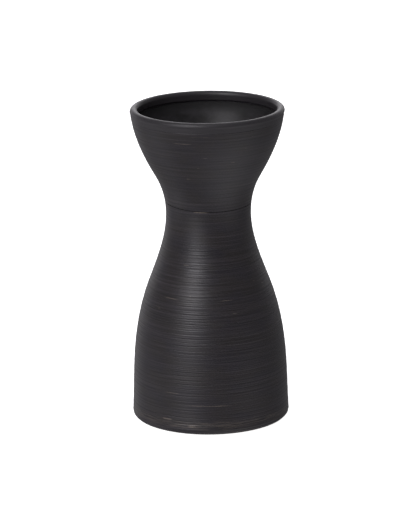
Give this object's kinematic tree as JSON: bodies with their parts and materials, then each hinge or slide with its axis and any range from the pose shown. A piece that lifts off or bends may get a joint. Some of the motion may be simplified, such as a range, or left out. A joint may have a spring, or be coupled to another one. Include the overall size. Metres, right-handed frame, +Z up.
{
  "type": "pottery vase",
  "caption": "Tall hourglass stoneware vase with a broad belly, a narrow waist, a flared cup, a rolled lip, fine combed rings outside and a glazed inside.",
  "frame": {"origin": "centre of the foot coil's resting face", "axes": "+Z up along the vase's axis; X and Y lie in the resting plane, and the vase is alike all round"},
  "size_m": [0.126, 0.126, 0.254],
  "materials": {
    "black_stoneware": "matt black slip over tan stoneware, combed in fine level rings",
    "lip_glaze": "satin black glaze, smooth",
    "bare_clay": "unglazed fired tan stoneware, wiped and slightly gritty",
    "luting_slip": "dark fired slip in the joints, dry and matt",
    "liner_glaze": "satin black liner glaze"
  },
  "bodies": {
    "root": {"foot_coil": "bare_clay", "foot_joint_slip": "luting_slip", "floor_slab": "black_stoneware", "floor_joint_slip": "luting_slip", "lower_section": "black_stoneware", "waist_joint_slip": "luting_slip", "upper_section": "black_stoneware", "lip_joint_slip": "luting_slip", "lip_coil": "lip_glaze", "liner_glaze": "liner_glaze"}
  },
  "joints": []
}
